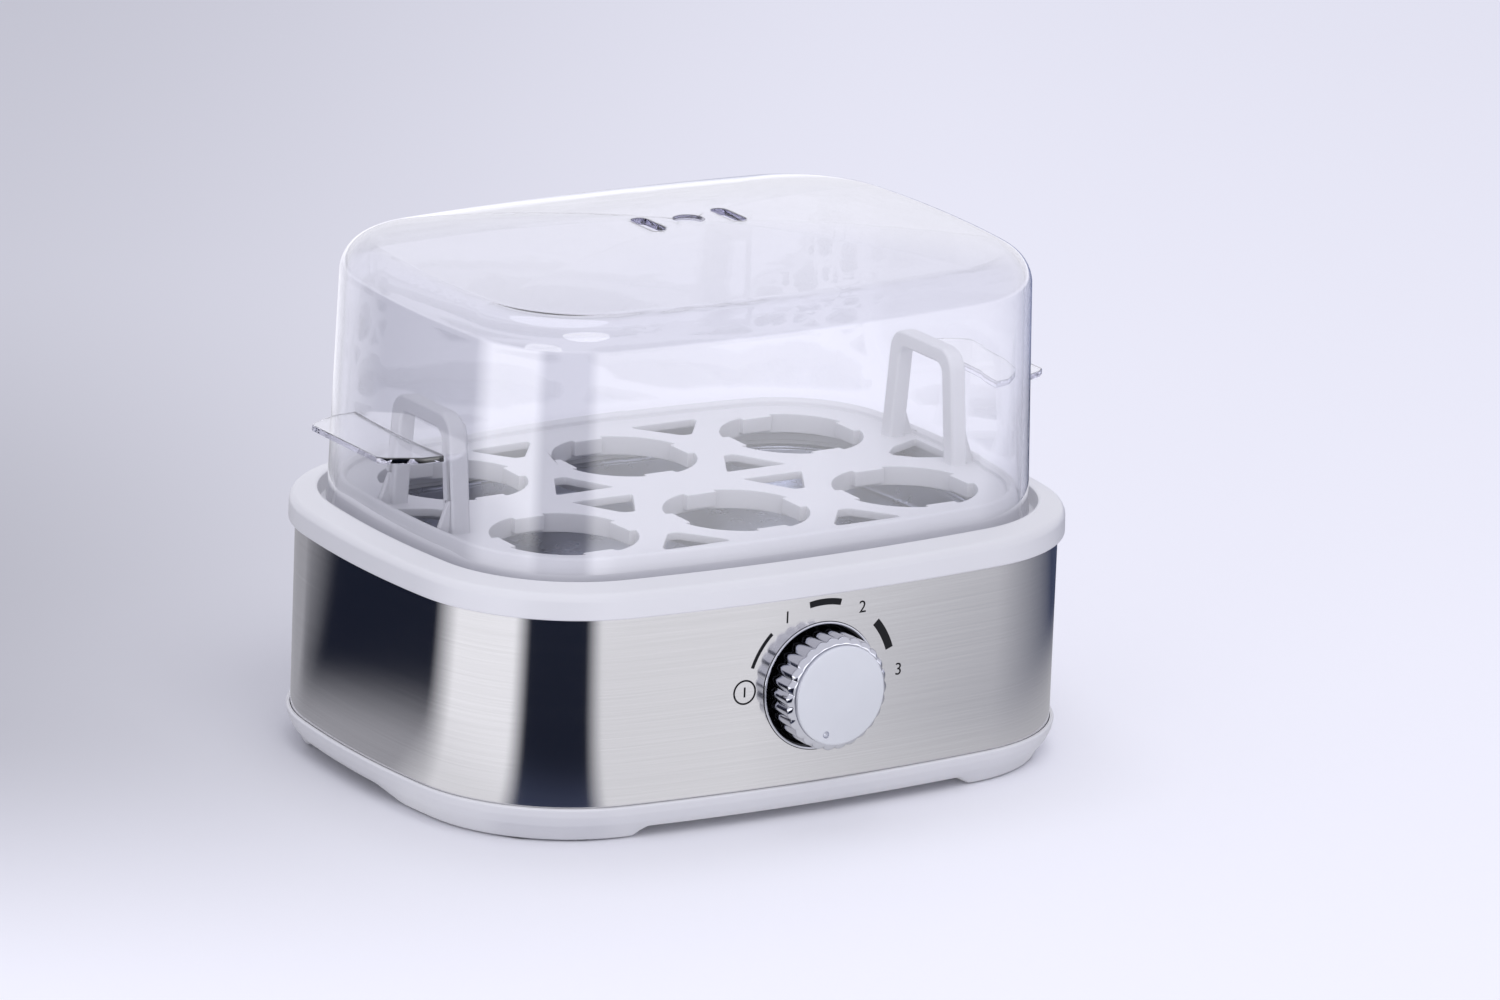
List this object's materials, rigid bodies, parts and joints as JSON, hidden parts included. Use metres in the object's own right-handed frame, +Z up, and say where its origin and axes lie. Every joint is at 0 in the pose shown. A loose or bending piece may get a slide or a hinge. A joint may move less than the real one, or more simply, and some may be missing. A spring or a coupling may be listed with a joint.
{
  "type": "egg cooker",
  "caption": "Steam egg cooker with a steel-clad oblong body, rotary front control, lift-out egg rack with two bails, and a clear domed lid with lifting tabs.",
  "frame": {"origin": "on the floor, midway between the knob's face and the tip of the cord gland, in the middle of the length", "axes": "+X to the right along the length as seen from the front, +Y to the back, +Z up; the knob faces -Y"},
  "size_m": [0.2136, 0.1699, 0.1494],
  "materials": {
    "white_pp": "satin white moulded polypropylene",
    "rack_pp": "satin light grey moulded polypropylene",
    "clear_lid": "clear moulded polycarbonate",
    "brushed_steel": "horizontally brushed stainless steel",
    "pan_steel": "pressed stainless steel, satin",
    "knob_chrome": "bright chrome plating",
    "knob_disc": "satin silver disc",
    "black_plastic": "black moulded nylon",
    "zinc_steel": "bright zinc plating",
    "brass": "nickel-free brass",
    "element_sheath": "oxidised aluminium sheath",
    "phenolic": "brown phenolic moulding",
    "ceramic": "unglazed steatite ceramic",
    "silicone": "translucent grey silicone",
    "rubber_foot": "dark grey rubber",
    "gland_pvc": "soft light grey PVC",
    "wire_brown": "brown insulation",
    "wire_black": "black insulation",
    "wire_red": "red silicone insulation",
    "wire_blue": "blue insulation",
    "wire_green": "green and yellow insulation"
  },
  "bodies": {
    "base": {"base_tray": "white_pp", "foot_pads": "rubber_foot", "steel_band": "brushed_steel", "collar": "white_pp", "water_pan": "pan_steel", "pan_gasket": "silicone", "pan_screws": "zinc_steel", "heating_element": "element_sheath", "snap_thermostat": "ceramic", "thermostat_strap": "zinc_steel", "strap_nuts": "zinc_steel", "thermal_fuse": "ceramic", "fuse_clip": "zinc_steel", "control_body": "phenolic", "control_bracket": "zinc_steel", "control_nut": "brass", "bracket_screws": "zinc_steel", "knob_bezel": "black_plastic", "bezel_trim": "knob_chrome", "terminal_block": "ceramic", "terminal_screws": "brass", "live_wire": "wire_brown", "control_wire": "wire_black", "fuse_wire": "wire_red", "heater_wire": "wire_red", "neutral_wire": "wire_blue", "earth_wire": "wire_green", "earth_tag": "zinc_steel", "cord_gland": "gland_pvc", "cord_clamp": "black_plastic", "clamp_screws": "zinc_steel", "base_screws": "zinc_steel"},
    "knob": {"knob_grip": "knob_chrome", "knob_cap": "knob_disc", "knob_spring": "zinc_steel", "control_spindle": "zinc_steel"},
    "rack": {"egg_rack": "rack_pp"},
    "lid": {"lid": "clear_lid"}
  },
  "joints": [
    {"name": "knob_turn", "type": "hinge", "parent": "base", "child": "knob", "pos_m": [0, -0.075, 0.0375], "axis": [0, 1, 0], "range_deg": [0, 248]},
    {"name": "rack_lift", "type": "slide", "parent": "base", "child": "rack", "axis": [0, 0, 1], "range_m": [0, 0.06]},
    {"name": "lid_lift", "type": "slide", "parent": "rack", "child": "lid", "axis": [0, 0, 1], "range_m": [0, 0.06]}
  ]
}
